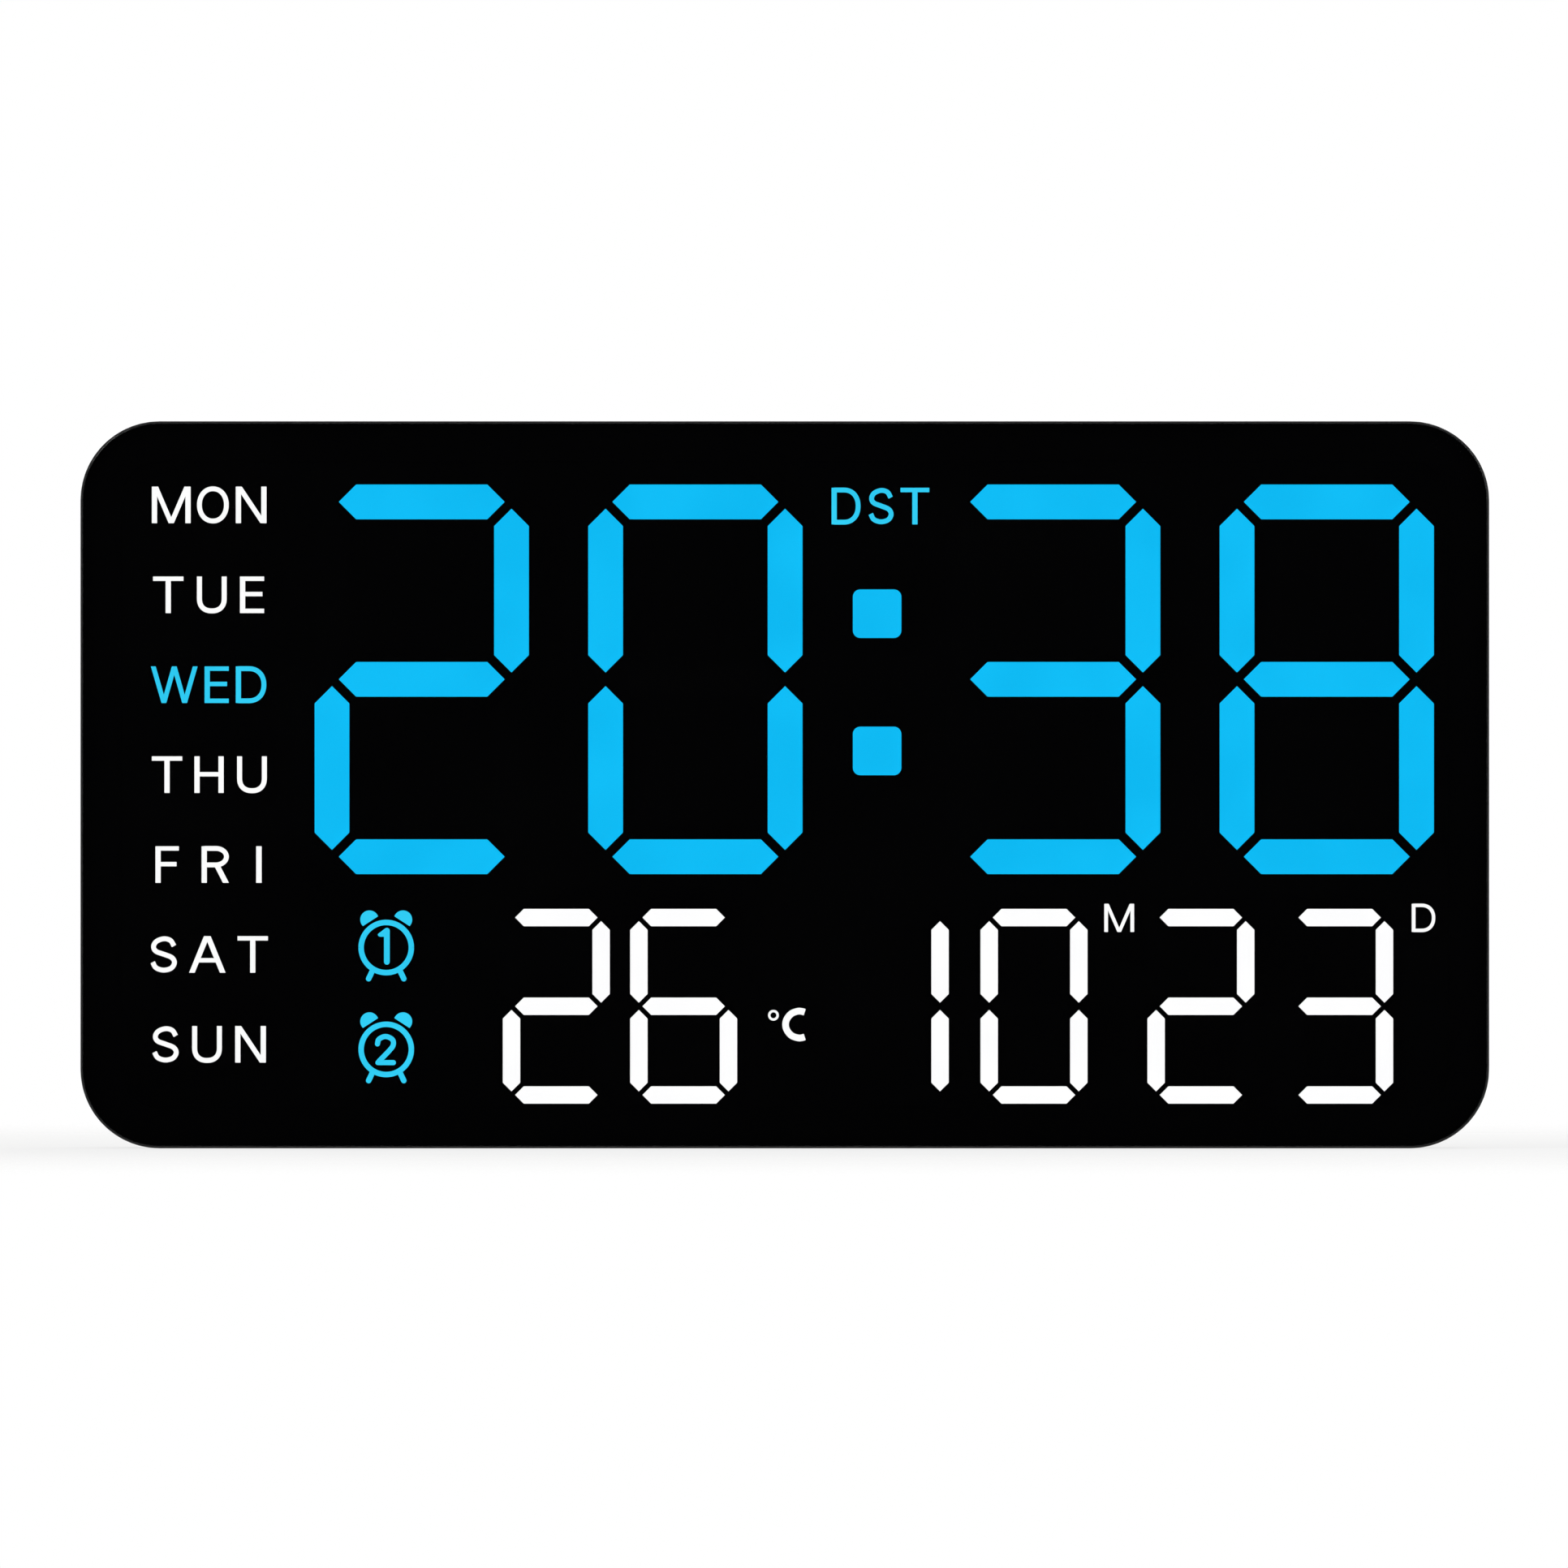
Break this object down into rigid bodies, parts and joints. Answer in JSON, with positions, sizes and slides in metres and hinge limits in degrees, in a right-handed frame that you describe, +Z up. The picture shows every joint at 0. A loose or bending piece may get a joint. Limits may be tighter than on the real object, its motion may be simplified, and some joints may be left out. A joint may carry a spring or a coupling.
{
  "type": "digital wall clock",
  "caption": "Flat rectangular digital clock for wall or desk: smoked full-face lens over lit bar digits for time, temperature and date, with rear buttons, keyholes and fold-out leg.",
  "frame": {"origin": "midway between the two keyhole entries, on the plane of the back face that lies on the wall", "axes": "+X to the viewer's right, +Y out of the back into the wall, +Z up; the face looks along -Y"},
  "size_m": [0.235, 0.028, 0.1213],
  "materials": {
    "smoked_acrylic": "gloss",
    "foam_tape": "matt",
    "black_film": "matt",
    "lit_blue": "lit",
    "lit_white": "lit",
    "dark_diffuser": "satin",
    "white_polycarbonate": "satin",
    "circuit_board": "satin",
    "led_package": "satin",
    "chip_epoxy": "matt",
    "black_moulding": "satin",
    "steel": "satin",
    "aluminium_can": "satin",
    "black_abs": "fine texture",
    "dark_grey_abs": "fine texture"
  },
  "bodies": {
    "case": {"front_lens": "smoked_acrylic", "lens_tape": "foam_tape", "display_mask": "black_film", "lit_time_bars": "lit_blue", "lit_small_bars": "lit_white", "unlit_bars": "dark_diffuser", "reflector": "white_polycarbonate", "circuit_board": "circuit_board", "time_leds": "led_package", "info_leds": "led_package", "controller_chip": "chip_epoxy", "driver_chips": "chip_epoxy", "clock_crystal": "aluminium_can", "storage_capacitor": "aluminium_can", "buzzer": "black_moulding", "temperature_sensor": "chip_epoxy", "push_switches": "black_moulding", "inlet_shell": "steel", "inlet_tongue": "black_moulding", "cell_holder": "black_moulding", "cell_clip": "steel", "coin_cell": "steel", "board_screws": "steel", "front_frame": "black_abs", "rear_cover": "black_abs", "case_screws": "steel"},
    "set_key": {"set_button": "dark_grey_abs", "set_plunger": "black_moulding"},
    "up_key": {"up_button": "dark_grey_abs", "up_plunger": "black_moulding"},
    "down_key": {"down_button": "dark_grey_abs", "down_plunger": "black_moulding"},
    "alarm_key": {"alarm_button": "dark_grey_abs", "alarm_plunger": "black_moulding"},
    "leg": {"stand_leg": "dark_grey_abs"},
    "hatch": {"battery_hatch": "dark_grey_abs", "hatch_screw": "steel"}
  },
  "joints": [
    {"name": "set_press", "type": "slide", "parent": "case", "child": "set_key", "axis": [0, -1, 0], "range_m": [0, 0.0005], "stiffness_N_per_m": 400, "springref_m": -0.003},
    {"name": "up_press", "type": "slide", "parent": "case", "child": "up_key", "axis": [0, -1, 0], "range_m": [0, 0.0005], "stiffness_N_per_m": 400, "springref_m": -0.003},
    {"name": "down_press", "type": "slide", "parent": "case", "child": "down_key", "axis": [0, -1, 0], "range_m": [0, 0.0005], "stiffness_N_per_m": 400, "springref_m": -0.003},
    {"name": "alarm_press", "type": "slide", "parent": "case", "child": "alarm_key", "axis": [0, -1, 0], "range_m": [0, 0.0005], "stiffness_N_per_m": 400, "springref_m": -0.003},
    {"name": "leg_hinge", "type": "hinge", "parent": "case", "child": "leg", "pos_m": [0, -0.0033, -0.0338], "axis": [1, 0, 0], "range_deg": [0, 28]},
    {"name": "hatch_lift", "type": "slide", "parent": "case", "child": "hatch", "axis": [0, 1, 0], "range_m": [0, 0.02]}
  ]
}
